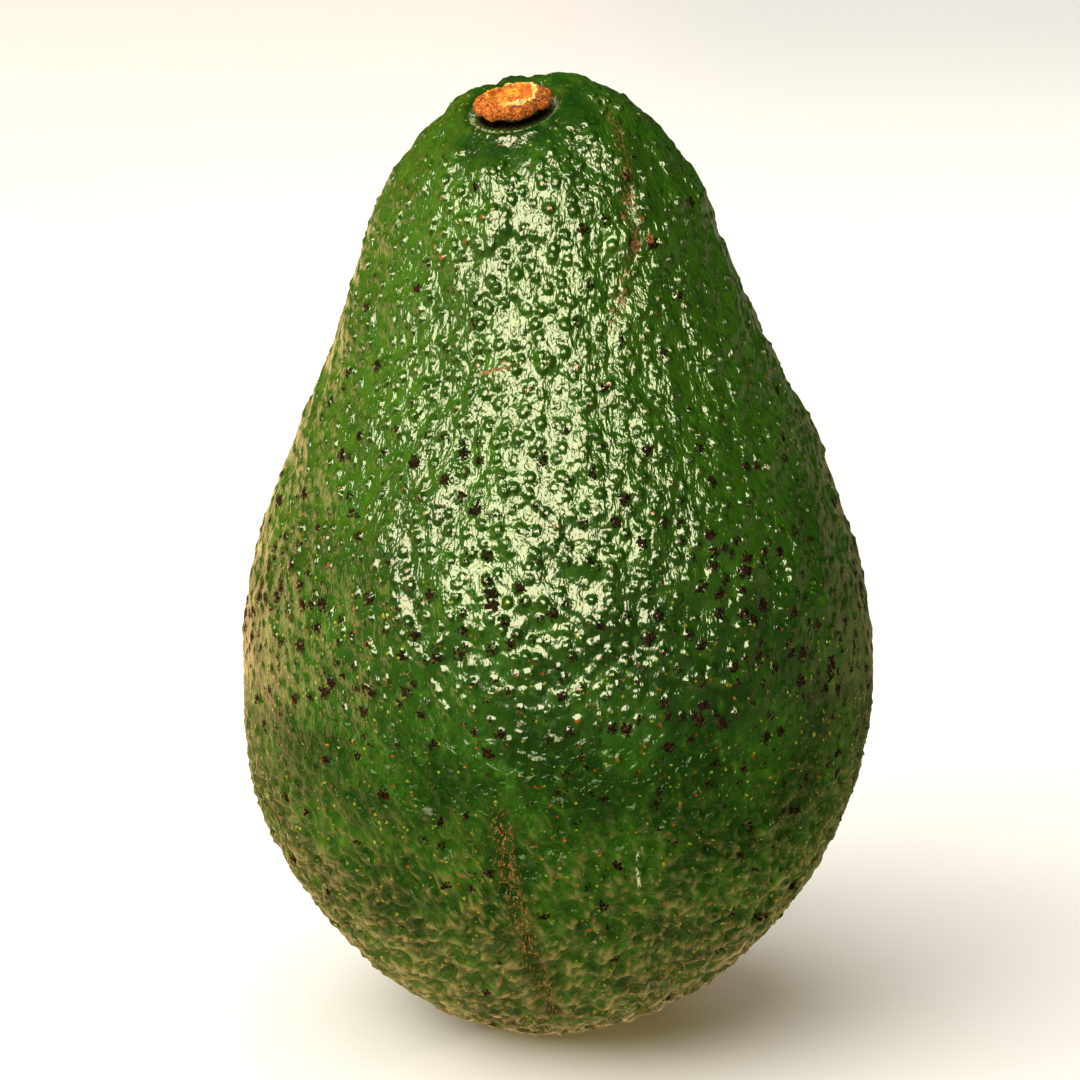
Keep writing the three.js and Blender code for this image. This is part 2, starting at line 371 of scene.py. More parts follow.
def skin_sides(directions):
    """For each direction two unit vectors across it, and how the skin moves for a small turn to each."""
    steep = np.abs(directions[:, 2:]) >= 0.9
    helper = np.where(steep, [[1.0, 0.0, 0.0]], [[0.0, 0.0, 1.0]])
    first = unit(np.cross(helper, directions))
    second = np.cross(directions, first)
    turn = 0.01
    slopes = [
        (flesh_points(unit(directions + side * turn)) - flesh_points(unit(directions - side * turn))) / (2 * turn)
        for side in (first, second)
    ]
    return (first, second), slopes


def skin_normals(directions):
    """The outward normals of the smooth flesh."""
    _, (across, along) = skin_sides(directions)
    return unit(np.cross(across, along))


def moved_beside(directions, lengths):
    """Directions whose skin lies the given millimetres beside that of the given ones."""
    sides, slopes = skin_sides(directions)
    moved = directions.copy()
    for side, slope, length in zip(sides, slopes, lengths.T):
        moved += side * (length / np.linalg.norm(slope, axis=1))[:, None]
    return unit(moved)


def spiral_directions(count):
    """Directions on a spiral from pole to pole, each with an equal share of the skin."""
    bands = 4000
    polar = np.linspace(0, math.pi, bands + 1)
    outline = flesh_points(np.column_stack((np.sin(polar), np.zeros(bands + 1), -np.cos(polar))))
    lengths = np.linalg.norm(np.diff(outline, axis=0), axis=1)
    middle = (polar[1:] + polar[:-1]) / 2
    area = np.cumsum(lengths * station_value(1, middle / math.pi))
    place = np.interp((np.arange(count) + 0.5) / count, area / area[-1], middle)
    turn = np.arange(count) * math.pi * (3 - math.sqrt(5))
    return np.column_stack((np.sin(place) * np.cos(turn), np.sin(place) * np.sin(turn), -np.cos(place)))


def at_place(turn, height):
    """The direction of a place given by its turn in degrees and its height in millimetres."""
    shares = np.linspace(0, 1, 2000)
    share = np.interp(height, np.maximum.accumulate(station_value(0, shares)), shares)
    polar, angle = share * math.pi, math.radians(turn)
    return np.array([[math.sin(polar) * math.cos(angle), math.sin(polar) * math.sin(angle), -math.cos(polar)]])


stem_axis = unit(np.array([-math.tan(STEM_TO_LEFT), -math.tan(STEM_TO_FRONT), 1.0]))
stem_side = math.sin(STEM_FROM_TOP)
stem_flat = (stem_side * math.cos(STEM_TURN), stem_side * math.sin(STEM_TURN))
stem_direction = np.array([[*stem_flat, math.cos(STEM_FROM_TOP)]])
stem_seat = flesh_points(stem_direction)[0]


def from_stem(points):
    """Height over the stem's seat, distance from its axis and turn round it."""
    offsets = points - stem_seat
    heights = offsets @ stem_axis
    flat = offsets - heights[:, None] * stem_axis
    return heights, np.linalg.norm(flat, axis=1), np.arctan2(flat[:, 1], flat[:, 0])


def hollowed(points):
    """Sinks the hollow round the stem and raises its folded shoulder, with fine ridges that run out from it."""
    near = np.linalg.norm(points - stem_seat, axis=1) <= SMOOTH_RADIUS
    heights, distance, turn = from_stem(points)
    rim = smoothstep(FLOOR_RADIUS, MOUTH_RADIUS, distance)
    shoulder = np.exp(-(((distance - SHOULDER_RADIUS) / SHOULDER_WIDTH) ** 2))
    fold = np.sin(FOLDS * turn) * FOLD_RISE
    (wide_rise, wide_count), (narrow_rise, narrow_count) = WIDE_RIDGES, NARROW_RIDGES
    ridges = wide_rise * np.sin(wide_count * turn + 3 * np.sin(2 * turn))
    ridges = ridges + narrow_rise * np.sin(narrow_count * turn + 1.5)
    fade = smoothstep(*RIDGES_START, distance) * (1 - smoothstep(*RIDGES_END, distance))
    groove = sum(rise * np.exp(-(((distance - place) / width) ** 2)) for place, width, rise in (GROOVE, LIP))
    plain = -HOLLOW_DEPTH + (heights + HOLLOW_DEPTH) * rim
    wanted = plain + shoulder * rim * (SHOULDER_RISE + fold) + ridges * fade + groove
    return points + np.where(near, wanted - heights, 0)[:, None] * stem_axis


def line_distances(points, places):
    """Millimetres from each point to the line through the places on the skin."""
    corners = np.vstack([flesh_points(at_place(turn, height)) for turn, height in places])
    nearest = np.full(len(points), 1e3)
    for start, end in zip(corners, corners[1:]):
        along = np.clip((points - start) @ (end - start) / np.sum((end - start) ** 2), 0, 1)
        gaps = np.linalg.norm(points - start - along[:, None] * (end - start), axis=1)
        nearest = np.minimum(nearest, gaps)
    return nearest


def noise_values(points, size, stretch=1.0):
    """Smooth noise between about -1 and 1 whose grains have the given size, drawn out along the fruit."""
    scaled = points / (size, size, size * stretch)
    return np.array([noise.noise(Vector(p)) for p in scaled])


def layer_relief(points, layer):
    """The relief of one layer, which is given by its shift, grain width, stretch and rise."""
    shift, size, stretch, rise = layer
    return rise * noise_values(points + shift, size, stretch)


def mark_relief(distances, form):
    """The relief of a mark at the given distances from its line, which is given by its half width and rise."""
    width, rise = form
    return rise * np.exp(-((distances / width) ** 2))


def draw_pimples(settings):
    """Places, sizes and kinds of the pimples."""
    draw = np.random.default_rng(settings.seed)
    count = settings.pimples
    strays = draw.uniform(-PIMPLE_STRAY, PIMPLE_STRAY, (count, 2))
    directions = moved_beside(spiral_directions(count), strays)
    places = flesh_points(directions)
    low = 1 - smoothstep(*LARGE_PIMPLE_ZONE, places[:, 2])
    scale = draw.uniform(0.25, 1.0, count) ** 0.6
    radius = (PIMPLE_RADIUS + LOW_PIMPLE_EXTRA * low) * scale
    rise = settings.pimple_height / MM * scale * draw.uniform(0.3, 1.6, count) * (1 - 0.6 * low)
    fade = smoothstep(8, 12.5, np.linalg.norm(places - stem_seat, axis=1)) * smoothstep(0.4, 2.5, places[:, 2])
    middle, spread, base = CORK_BAND
    chance = base * np.exp(-(((places[:, 2] - middle) / spread) ** 2)) + 0.05
    for turn, height, size, share in CORK_PATCHES:
        gap = np.linalg.norm(places - flesh_points(at_place(turn, height)), axis=1)
        chance = np.maximum(chance, share * np.exp(-((gap / size) ** 4)))
    # A corky pimple gets a crust, whose radius in millimetres is larger where such pimples crowd.
    corky = draw.random(count) < chance
    crowd = smoothstep(0.3, 0.6, chance)
    cork = np.where(corky, 0.16 + 0.2 * crowd + 0.6 * draw.random(count) ** 1.5, 0) * smoothstep(0.3, 0.6, fade)
    tint = draw.random(count)
    return directions, places, radius, rise * fade, cork, tint


def nearest_pimples(points, places):
    """The index of the pimple that each point is nearest to."""
    tree = kdtree.KDTree(len(places))
    for index, place in enumerate(places):
        tree.insert(Vector(place), index)
    tree.balance()
    return np.array([tree.find(Vector(p))[1] for p in points])


def store(mesh, name, domain, values):
    """Keeps values on the mesh's points or faces, for its material to read."""
    values = np.asarray(values, dtype=np.float32)
    kind, field = ("FLOAT_VECTOR", "vector") if values.ndim == 2 else ("FLOAT", "value")
    mesh.attributes.new(name, kind, domain).data.foreach_set(field, values.ravel())


def deselect_all():
    """Leaves nothing selected, because an operator acts on all that is."""
    if bpy.context.object and bpy.context.object.mode != "OBJECT":
        bpy.ops.object.mode_set(mode="OBJECT")
    bpy.ops.object.select_all(action="DESELECT")


def shape_skin(mesh, settings):
    """Turns an evenly divided cube into the fruit, with a pimple wherever one was drawn."""
    corners = np.empty(len(mesh.vertices) * 3, dtype=np.float32)
    mesh.vertices.foreach_get("co", corners)
    directions = unit(np.tan(corners.reshape(-1, 3).astype(float) * math.pi / 4))
    normals = skin_normals(directions)
    smooth = flesh_points(directions)
    pimple_directions, places, radius, rise, cork, tint = draw_pimples(settings)

    # The mesh is drawn in to each pimple, so that the pimple has enough points for its dome.
    owner = nearest_pimples(smooth, places)
    offsets = smooth - places[owner]
    distance = np.linalg.norm(offsets, axis=1)
    pull = np.minimum(distance / PIMPLE_REACH, 1) ** 0.4
    smooth = places[owner] + offsets * pull[:, None]
    share = np.clip(distance * pull / radius[owner], 0, 1)
    dome = rise[owner] * (1 - share**2) ** 2

    # Marks and relief fade out near the stem and near the floor, over the millimetres that each step names.
    heights = smooth[:, 2]
    stem_gap = np.linalg.norm(smooth - stem_seat, axis=1)
    neck = smoothstep(*NECK_ZONE, heights) * smoothstep(6, 12, stem_gap)
    creasing = line_distances(smooth, CREASE)
    streaking = line_distances(smooth, STREAK)
    scratching = line_distances(smooth, SCRATCH)

    # The leathery net, which is calmer on the upper half and fades out on the neck and beside the stem.
    away = smoothstep(4, 9, stem_gap) * (1 - 0.8 * neck)
    away = away * (1 - 0.65 * smoothstep(*CALM_ZONE, heights))
    net = FOLD_CREST - np.abs(noise_values(smooth, FOLD_WIDTH))
    folds = 0.6 + 0.8 * (1 - smoothstep(*DEEP_FOLD_ZONE, heights))
    relief = dome + away * (folds * net + layer_relief(smooth, LEATHER))
    relief = relief + layer_relief(smooth, NECK_STRANDS) * neck + layer_relief(smooth, SWELLS)
    hammered = smoothstep(5, 12, stem_gap) * smoothstep(*HAMMERED_ZONE, heights)
    relief = relief + layer_relief(smooth, HAMMERING) * hammered
    relief = relief + mark_relief(creasing, CREASE_FORM) * smoothstep(3, 8, heights)
    relief = relief + mark_relief(streaking, STREAK_FORM) + mark_relief(scratching, SCRATCH_FORM)
    around = smoothstep(4.8, 7, stem_gap) * (1 - smoothstep(9, 17, stem_gap))
    relief = relief + RAY_RISE * noise_values(unit(smooth - stem_seat) * RAYS, 1.0) * around
    relief = relief * smoothstep(0.0, 2.0, heights)

    points = hollowed(smooth + normals * relief[:, None])
    points[:, 2] = np.maximum(points[:, 2], 0)
    mesh.vertices.foreach_set("co", (points * MM).ravel())
    mesh.update()

    middles = np.empty(len(mesh.polygons) * 3, dtype=np.float32)
    mesh.polygons.foreach_get("center", middles)
    tops = hollowed(places + skin_normals(pimple_directions) * rise[:, None])
    face_owner = nearest_pimples(middles.reshape(-1, 3).astype(float) / MM, tops)
    store(mesh, "pimple_place", "FACE", tops[face_owner])
    store(mesh, "pimple_size", "FACE", (radius * np.sign(rise))[face_owner])
    store(mesh, "cork_size", "FACE", cork[face_owner])
    store(mesh, "tint", "FACE", tint[face_owner])
    store(mesh, "neck", "POINT", neck)
    # The crests of the net low down, where the shader paints a warm reflection.
    crest = smoothstep(0.11, 0.195, net) * (1 - smoothstep(*CREST_SHEEN_ZONE, heights)) * smoothstep(0, 3, heights)
    store(mesh, "crest", "POINT", crest)
    store(mesh, "upper", "POINT", smoothstep(*UPPER_ZONE, heights))
    store(mesh, "crease_gap", "POINT", creasing)
    store(mesh, "streak_gap", "POINT", streaking)
    store(mesh, "scratch_gap", "POINT", scratching)
    store(mesh, "pale_gap", "POINT", line_distances(smooth, PALE_SCRATCH))
    scab_gaps = [
        np.linalg.norm(smooth - flesh_points(at_place(turn, height)), axis=1) / size
        for turn, height, size in SCABS
    ]
    store(mesh, "scab_gap", "POINT", np.min(scab_gaps, axis=0))
    # The stem's axis also leaves the fruit below, so what is far from the stub is given a large distance.
    store(mesh, "stem_gap", "POINT", from_stem(points)[1] + 40 * smoothstep(12, 20, stem_gap))


def add(tree, kind, inputs=None, out=0, **settings):
    """Adds a node with its settings, sets or links its inputs and gives back one of its outputs."""
    node = tree.nodes.new(kind)
    for name, value in settings.items():
        setattr(node, name, value)
    for name, value in (inputs or {}).items():
        if isinstance(value, bpy.types.NodeSocket):
            tree.links.new(value, node.inputs[name])
        else:
            node.inputs[name].default_value = value
    return node if out is None else node.outputs[out]


def new_material(name):
    """A material with an empty node tree."""
    material = bpy.data.materials.new(name)
    material.use_nodes = True
    material.node_tree.nodes.clear()
    return material, material.node_tree


def opaque(colour):
    """A colour as a socket takes it."""
    return (*colour, 1.0)


def waxy_skin(settings):
    """Waxy fruit skin: a thin clear cuticle over opaque green cells."""
    # To the eye it is a sharp, small gloss that pimples and crinkles break up, over a deep and uneven green. The
    # cuticle is worn on the lower half, and dry where cork has grown through it, so it mirrors little there.
    material, tree = new_material("waxy_pebbled_skin")
    # Sockets go by number where their names repeat. A ramp runs from 1 to 2, in millimetres for a gap and in noise
    # values for a pattern, and a mix goes from colour 6 to colour 7.
    value, vector, mix, ramp = "ShaderNodeMath", "ShaderNodeVectorMath", "ShaderNodeMix", "ShaderNodeMapRange"
    grains, kept = "ShaderNodeTexNoise", "ShaderNodeAttribute"
    soft, blend = {"interpolation_type": "SMOOTHSTEP"}, {"out": 2, "data_type": "RGBA"}
    coordinates = add(tree, "ShaderNodeTexCoord", out="Object")
    place = add(tree, vector, {0: coordinates, "Scale": 1 / MM}, operation="SCALE")
    drawn_out = add(tree, "ShaderNodeMapping", {"Vector": place, "Scale": (1.0, 1.0, 0.4)})
    centre = add(tree, kept, out="Vector", attribute_name="pimple_place")
    names = ("pimple_size", "cork_size", "tint", "neck", "upper", "crest", "stem_gap", "crease_gap", "pale_gap")
    masks = [add(tree, kept, out="Fac", attribute_name=name) for name in names]
    size, cork_size, tint, neck, upper, crest, stem_gap, crease, pale_gap = masks

    # Millimetres to the middle of the nearest pimple, and the same with a wavering edge.
    waver = add(tree, grains, {"Vector": place, "Scale": 1 / EDGE_WAVER, "Detail": 3.0}, out="Color")
    waver = add(tree, vector, {0: waver, 1: (0.5, 0.5, 0.5)}, operation="SUBTRACT")
    waver = add(tree, vector, {0: waver, "Scale": 1.1}, operation="SCALE")
    wavering = add(tree, vector, {0: place, 1: waver}, operation="ADD")
    gap = add(tree, vector, {0: place, 1: centre}, out="Value", operation="DISTANCE")
    rough_gap = add(tree, vector, {0: wavering, 1: centre}, out="Value", operation="DISTANCE")

    fine = add(tree, grains, {"Vector": drawn_out, "Scale": 1 / CRINKLE_WIDTH, "Detail": 1.0})
    grain = add(tree, grains, {"Vector": place, "Scale": 1 / CORK_GRAIN, "Detail": 1.0})
    strands = add(tree, grains, {"Vector": drawn_out, "Scale": 1 / STRAND_WIDTH, "Detail": 0.0})
    crumple = add(tree, grains, {"Vector": place, "Scale": 1 / CRUMPLE_WIDTH, "Detail": 0.0})
    mottle = add(tree, grains, {"Vector": place, "Scale": 1 / MOTTLE_WIDTH, "Detail": 2.0})
    drift = add(tree, grains, {"Vector": place, "Scale": 1 / DRIFT_WIDTH, "Detail": 2.0})

    # Green in broad drifts and a fine mottle. The neck is painted a lighter green, a painted light for the
    # brighter lit green round the window's gloss, and painted shade darkens the foot of each pimple.
    share = add(tree, ramp, {0: drift, 1: 0.35, 2: 0.68}, **soft)
    colour = add(tree, mix, {0: share, 6: opaque(settings.dark_green), 7: opaque(settings.green)}, **blend)
    share = add(tree, ramp, {0: mottle, 1: 0.48, 2: 0.9}, **soft)
    colour = add(tree, mix, {0: share, 6: colour, 7: opaque(settings.light_green)}, **blend)
    # Painted light: the neck is lighter, as if lit more strongly.
    share = add(tree, value, {0: neck, 1: 0.4}, operation="MULTIPLY")
    colour = add(tree, mix, {0: share, 6: colour, 7: opaque(settings.light_green)}, **blend)
    # Painted shade: a dark ring at the foot of each pimple, where its flank turns from the light.
    inner = add(tree, ramp, {0: gap, 1: 0.2, 2: 0.45}, **soft)
    outer = add(tree, ramp, {0: gap, 1: 0.45, 2: 0.85}, **soft)
    painted_foot_shade = add(tree, value, {0: inner, 1: outer}, operation="SUBTRACT")
    painted_foot_shade = add(tree, value, {0: painted_foot_shade, 1: 0.45}, operation="MULTIPLY")
    colour = add(tree, mix, {0: painted_foot_shade, 6: colour, 7: opaque(settings.dark_green)}, **blend)

    # The crests of the leathery net on the lower half get a painted tan sheen: a painted reflection of the warm
    # card that they face at a grazing angle.
    crest_sheen_share = add(tree, value, {0: crest, 1: 0.62}, operation="MULTIPLY")
    colour = add(tree, mix, {0: crest_sheen_share, 6: colour, 7: opaque(settings.crest_sheen_tan)}, **blend)

    # Lenticels: a small pale, yellow-green or orange-red dot at the top of most pimples.
    dot_size = add(tree, value, {0: tint, 1: 0.13, 2: 0.06}, operation="MULTIPLY_ADD")
    inside = add(tree, value, {0: dot_size, 1: rough_gap}, operation="SUBTRACT")
    dot = add(tree, ramp, {0: inside, 1: -0.04, 2: 0.05}, **soft)
    dotted = add(tree, ramp, {0: tint, 1: 0.35, 2: 0.4}, **soft)
    there = add(tree, ramp, {0: size, 1: 0.1, 2: 0.2})
    dotted = add(tree, value, {0: dotted, 1: there}, operation="MULTIPLY")
    dot = add(tree, value, {0: dot, 1: dotted}, operation="MULTIPLY")
    # The fraction of a multiple of the tint is as good as a draw of its own.
    kind = add(tree, value, {0: tint, 1: 17.0}, operation="MULTIPLY")
    kind = add(tree, value, {0: kind}, operation="FRACT")
    red = add(tree, ramp, {0: kind, 1: 0.66, 2: 0.7}, **soft)
    # In the neck the dots are cream, partly their own colour and partly a painted highlight of the glint on each
    # pimple's top.
    in_neck = add(tree, ramp, {0: neck, 1: 0.2, 2: 0.8}, **soft)
    pale = add(tree, mix, {0: in_neck, 6: opaque(settings.lenticel), 7: opaque(settings.pale_lenticel_and_highlight)}, **blend)
    dot_colour = add(tree, mix, {0: red, 6: pale, 7: opaque(settings.red_lenticel)}, **blend)
    dot = add(tree, value, {0: dot, 1: 0.8}, operation="MULTIPLY")
    colour = add(tree, mix, {0: dot, 6: colour, 7: dot_colour}, **blend)

    # Specks a fifth of a millimetre wide between the pimples.
    spacing = {"Vector": place, "Scale": 1 / SPECK_SPACING}
    speck_gap = add(tree, "ShaderNodeTexVoronoi", spacing, out="Distance")
    speck_kind = add(tree, "ShaderNodeTexVoronoi", spacing, out="Color")
    speck_size = add(tree, "ShaderNodeSeparateXYZ", {0: speck_kind}, out="Y")
    speck_kind = add(tree, "ShaderNodeSeparateXYZ", {0: speck_kind}, out="X")
    speck_size = add(tree, value, {0: speck_size, 1: 0.36, 2: -0.09}, operation="MULTIPLY_ADD")
    inside = add(tree, value, {0: speck_size, 1: speck_gap}, operation="SUBTRACT")
    speck = add(tree, ramp, {0: inside, 1: 0.0, 2: 0.06}, **soft)
    bare = add(tree, ramp, {0: neck, 1: 0.9, 2: 0.2})
    bare = add(tree, value, {0: bare, 1: 0.6, 2: 0.15}, operation="MULTIPLY_ADD")
    speck = add(tree, value, {0: speck, 1: bare}, operation="MULTIPLY")
    share = add(tree, ramp, {0: speck_kind, 1: 0.6, 2: 0.7}, **soft)
    hue = add(tree, mix, {0: share, 6: opaque(settings.lenticel), 7: opaque(settings.red_lenticel)}, **blend)
    colour = add(tree, mix, {0: speck, 6: colour, 7: hue}, **blend)

    # Cork spots: dry black-brown crusts with reddish grains.
    crumbs = add(tree, "ShaderNodeTexVoronoi", {"Vector": place, "Scale": 1 / CORK_CRUMB}, out="Distance")
    reach = add(tree, value, {0: crumbs, 1: -1.1, 2: cork_size}, operation="MULTIPLY_ADD")
    inside = add(tree, value, {0: reach, 1: rough_gap}, operation="SUBTRACT")
    cork = add(tree, ramp, {0: inside, 1: -0.5, 2: -0.41}, **soft)
    share = add(tree, ramp, {0: cork_size, 1: 0.05, 2: 0.1})
    cork = add(tree, value, {0: cork, 1: share}, operation="MULTIPLY")
    share = add(tree, ramp, {0: grain, 1: 0.52, 2: 0.68}, **soft)
    crust = add(tree, mix, {0: share, 6: opaque(settings.cork), 7: opaque(settings.cork_grain)}, **blend)
    colour = add(tree, mix, {0: cork, 6: colour, 7: crust}, **blend)

    # The crease at the blossom end lies in painted shade, and a thin pale line on the lip round the stem's gap is
    # a painted highlight.
    share = add(tree, ramp, {0: crease, 1: 2.6, 2: 0.2, 4: 0.7}, **soft)
    colour = add(tree, mix, {0: share, 6: colour, 7: opaque(settings.dark_green)}, **blend)
    inner = add(tree, ramp, {0: stem_gap, 1: FLOOR_RADIUS, 2: FLOOR_RADIUS + 0.25}, **soft)
    outer = add(tree, ramp, {0: stem_gap, 1: FLOOR_RADIUS + 0.45, 2: FLOOR_RADIUS + 0.85}, **soft)
    painted_lip_highlight = add(tree, value, {0: inner, 1: outer}, operation="SUBTRACT")
    broken = add(tree, ramp, {0: fine, 1: 0.4, 2: 0.55}, **soft)
    share = add(tree, value, {0: painted_lip_highlight, 1: broken}, operation="MULTIPLY")
    share = add(tree, value, {0: share, 1: 0.6}, operation="MULTIPLY")
    colour = add(tree, mix, {0: share, 6: colour, 7: opaque(settings.pale_lenticel_and_highlight)}, **blend)

    # Russet: the broken streak that runs down from the stem, its scabs, a scratch and the crease below. Each has
    # its full and its last distance in millimetres, and how much of the fine noise breaks it.
    marks = None
    for name, narrow, wide, low, high in (
        ("streak_gap", 0.05, 1.15, 0.53, 0.61),
        ("scratch_gap", 0.05, 0.35, 0.35, 0.45),
        ("crease_gap", 0.1, 1.8, 0.54, 0.62),
        ("scab_gap", 0.7, 1.05, 0.2, 0.3),
    ):
        away = add(tree, kept, out="Fac", attribute_name=name)
        close = add(tree, ramp, {0: away, 1: wide, 2: narrow}, **soft)
        broken = add(tree, ramp, {0: fine, 1: low, 2: high}, **soft)
        mark = add(tree, value, {0: close, 1: broken}, operation="MULTIPLY")
        marks = add(tree, value, {0: marks, 1: mark}, operation="MAXIMUM") if marks else mark
    share = add(tree, ramp, {0: grain, 1: 0.4, 2: 0.6}, **soft)
    tan = add(tree, mix, {0: share, 6: opaque(settings.russet), 7: opaque(settings.russet_shade)}, **blend)
    share = add(tree, value, {0: marks, 1: 0.85}, operation="MULTIPLY")
    colour = add(tree, mix, {0: share, 6: colour, 7: tan}, **blend)

    # A pale scratch low down, and the black seam round the stub: painted shade in the gap under the stub, partly
    # its dry crust.
    close = add(tree, ramp, {0: pale_gap, 1: 0.26, 2: 0.05}, **soft)
    broken = add(tree, ramp, {0: fine, 1: 0.42, 2: 0.5}, **soft)
    share = add(tree, value, {0: close, 1: broken}, operation="MULTIPLY")
    colour = add(tree, mix, {0: share, 6: colour, 7: opaque(settings.pale_lenticel_and_highlight)}, **blend)
    share = add(tree, ramp, {0: stem_gap, 1: FLOOR_RADIUS, 2: FLOOR_RADIUS - 0.3}, **soft)
    colour = add(tree, mix, {0: share, 6: colour, 7: opaque(settings.cork)}, **blend)

    # Relief too fine for the mesh, in millimetres: crinkles drawn out along the neck, the sharp top and
    # foot of each pimple, a leathery net of thin ridges on the lower half, and the crust of the cork.
    lower = add(tree, ramp, {0: upper, 1: 0.5, 2: 0.0}, **soft)
    bent = add(tree, vector, {0: waver, "Scale": 0.5}, operation="SCALE")
    bent = add(tree, vector, {0: place, 1: bent}, operation="ADD")
    net = {"Vector": bent, "Scale": 1 / NET_CELL}
    edge = add(tree, "ShaderNodeTexVoronoi", net, out="Distance", feature="DISTANCE_TO_EDGE")
    ridge = add(tree, ramp, {0: edge, 1: 0.26, 2: 0.0}, **soft)
    ridge = add(tree, value, {0: ridge, 1: lower}, operation="MULTIPLY")
    crinkle = add(tree, value, {0: neck, 1: NECK_CRINKLE_EXTRA, 2: CRINKLE_RISE}, operation="MULTIPLY_ADD")
    height = add(tree, value, {0: fine, 1: crinkle}, operation="MULTIPLY")
    dents = add(tree, value, {0: lower, 1: LOW_DENT_EXTRA, 2: DENT_RISE}, operation="MULTIPLY_ADD")
    dents = add(tree, value, {0: dents, 1: crumple}, operation="MULTIPLY")
    height = add(tree, value, {0: dents, 1: height}, operation="ADD")
    height = add(tree, value, {0: ridge, 1: NET_RIDGE_RISE, 2: height}, operation="MULTIPLY_ADD")
    strand = add(tree, value, {0: strands, 1: neck}, operation="MULTIPLY")
    height = add(tree, value, {0: strand, 1: STRAND_RISE, 2: height}, operation="MULTIPLY_ADD")
    top = add(tree, ramp, {0: gap, 1: 0.82, 2: 0.16}, **soft)
    top = add(tree, value, {0: top, 1: there}, operation="MULTIPLY")
    lift = add(tree, value, {0: size, 1: 0.48, 2: -0.04}, operation="MULTIPLY_ADD")
    lift = add(tree, value, {0: lift, 1: upper}, operation="MULTIPLY")
    height = add(tree, value, {0: top, 1: lift, 2: height}, operation="MULTIPLY_ADD")
    crusty = add(tree, value, {0: grain, 1: CRUST_GRAIN_RISE, 2: CRUST_RISE}, operation="MULTIPLY_ADD")
    height = add(tree, value, {0: crusty, 1: cork, 2: height}, operation="MULTIPLY_ADD")
    bump = add(tree, "ShaderNodeBump", {"Height": height, "Strength": 1.0, "Distance": MM})

    dull = add(tree, value, {0: cork, 1: marks}, operation="MAXIMUM")
    blur = add(tree, value, {0: dull, 1: 0.3, 2: settings.roughness}, operation="MULTIPLY_ADD")
    blur = add(tree, value, {0: lower, 1: 0.03, 2: blur}, operation="MULTIPLY_ADD")
    gloss = add(tree, value, {0: dull, 1: -0.46, 2: 0.5}, operation="MULTIPLY_ADD")
    worn = add(tree, value, {0: lower, 1: -0.76, 2: 1.0}, operation="MULTIPLY_ADD")
    gloss = add(tree, value, {0: gloss, 1: worn}, operation="MULTIPLY")
    shader = add(
        tree,
        "ShaderNodeBsdfPrincipled",
        {"Base Color": colour, "Roughness": blur, "Specular IOR Level": gloss, "Normal": bump, "IOR": WAX_IOR},
    )
    add(tree, "ShaderNodeOutputMaterial", {"Surface": shader}, out=None)
    return material


